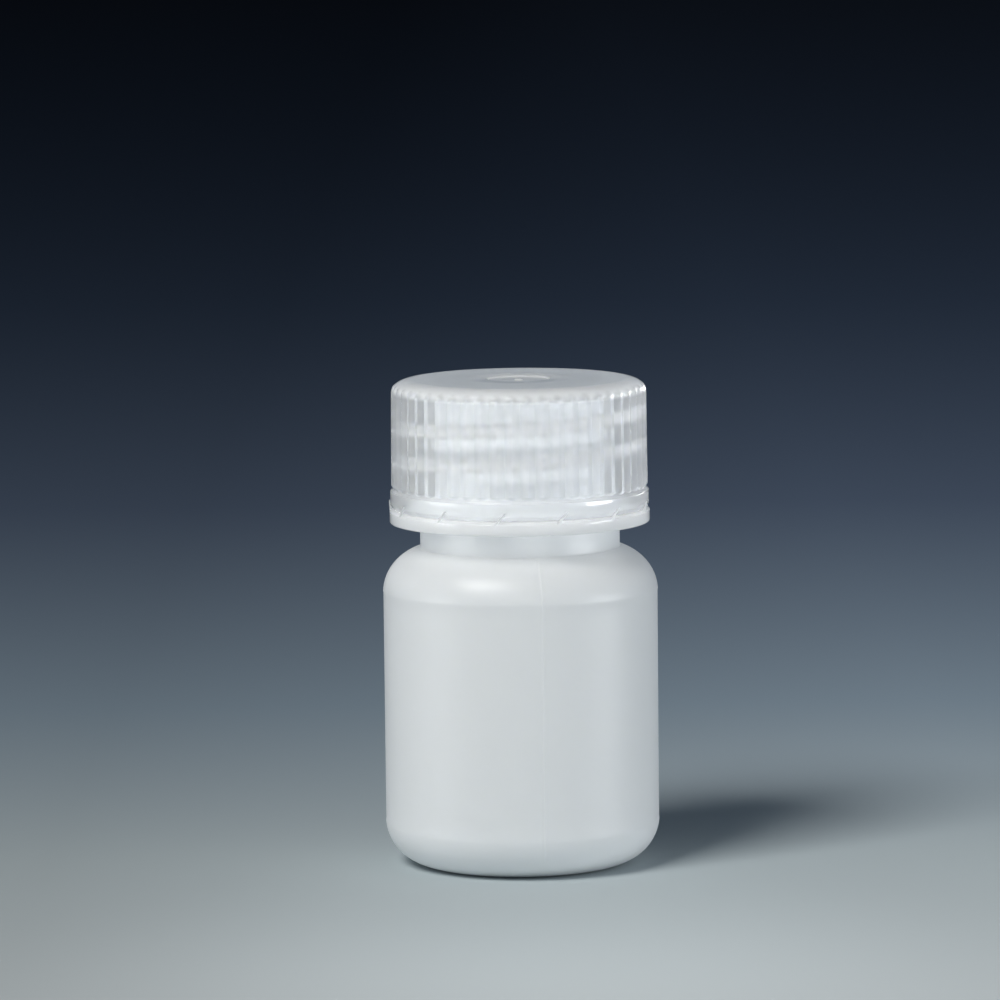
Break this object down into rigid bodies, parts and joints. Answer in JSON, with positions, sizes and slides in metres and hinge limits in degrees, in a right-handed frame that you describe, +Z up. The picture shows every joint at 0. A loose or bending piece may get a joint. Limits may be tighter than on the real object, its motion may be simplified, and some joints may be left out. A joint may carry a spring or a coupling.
{
  "type": "reagent bottle",
  "caption": "Small round wide-mouth plastic bottle with a ribbed screw cap, a breakaway tamper band below it and a plug seal in the mouth.",
  "frame": {"origin": "centre of the base, on the bench", "axes": "+Z up through the neck, -Y the front, +X to the right seen from the front"},
  "size_m": [0.0346, 0.0346, 0.0613],
  "materials": {
    "bottle_plastic": "natural polyethylene, milky, faintly glossy",
    "cap_plastic": "natural polypropylene, milky and translucent, moulded satin"
  },
  "bodies": {
    "bottle": {"bottle": "bottle_plastic"},
    "band": {"tamper_band": "cap_plastic", "band_bridges": "cap_plastic"},
    "cap": {"screw_cap": "cap_plastic"}
  },
  "joints": [
    {"name": "band_turn", "type": "hinge", "parent": "bottle", "child": "band", "pos_m": [0, 0, 0.0441], "axis": [0, 0, 1], "range_deg": [0, 1260]},
    {"name": "cap_lift", "type": "slide", "parent": "band", "child": "cap", "axis": [0, 0, 1], "range_m": [0, 0.0149]}
  ],
  "couplings": [
    {"joint": "cap_lift", "follows": "band_turn", "m_per_rad": 0.00067322}
  ]
}
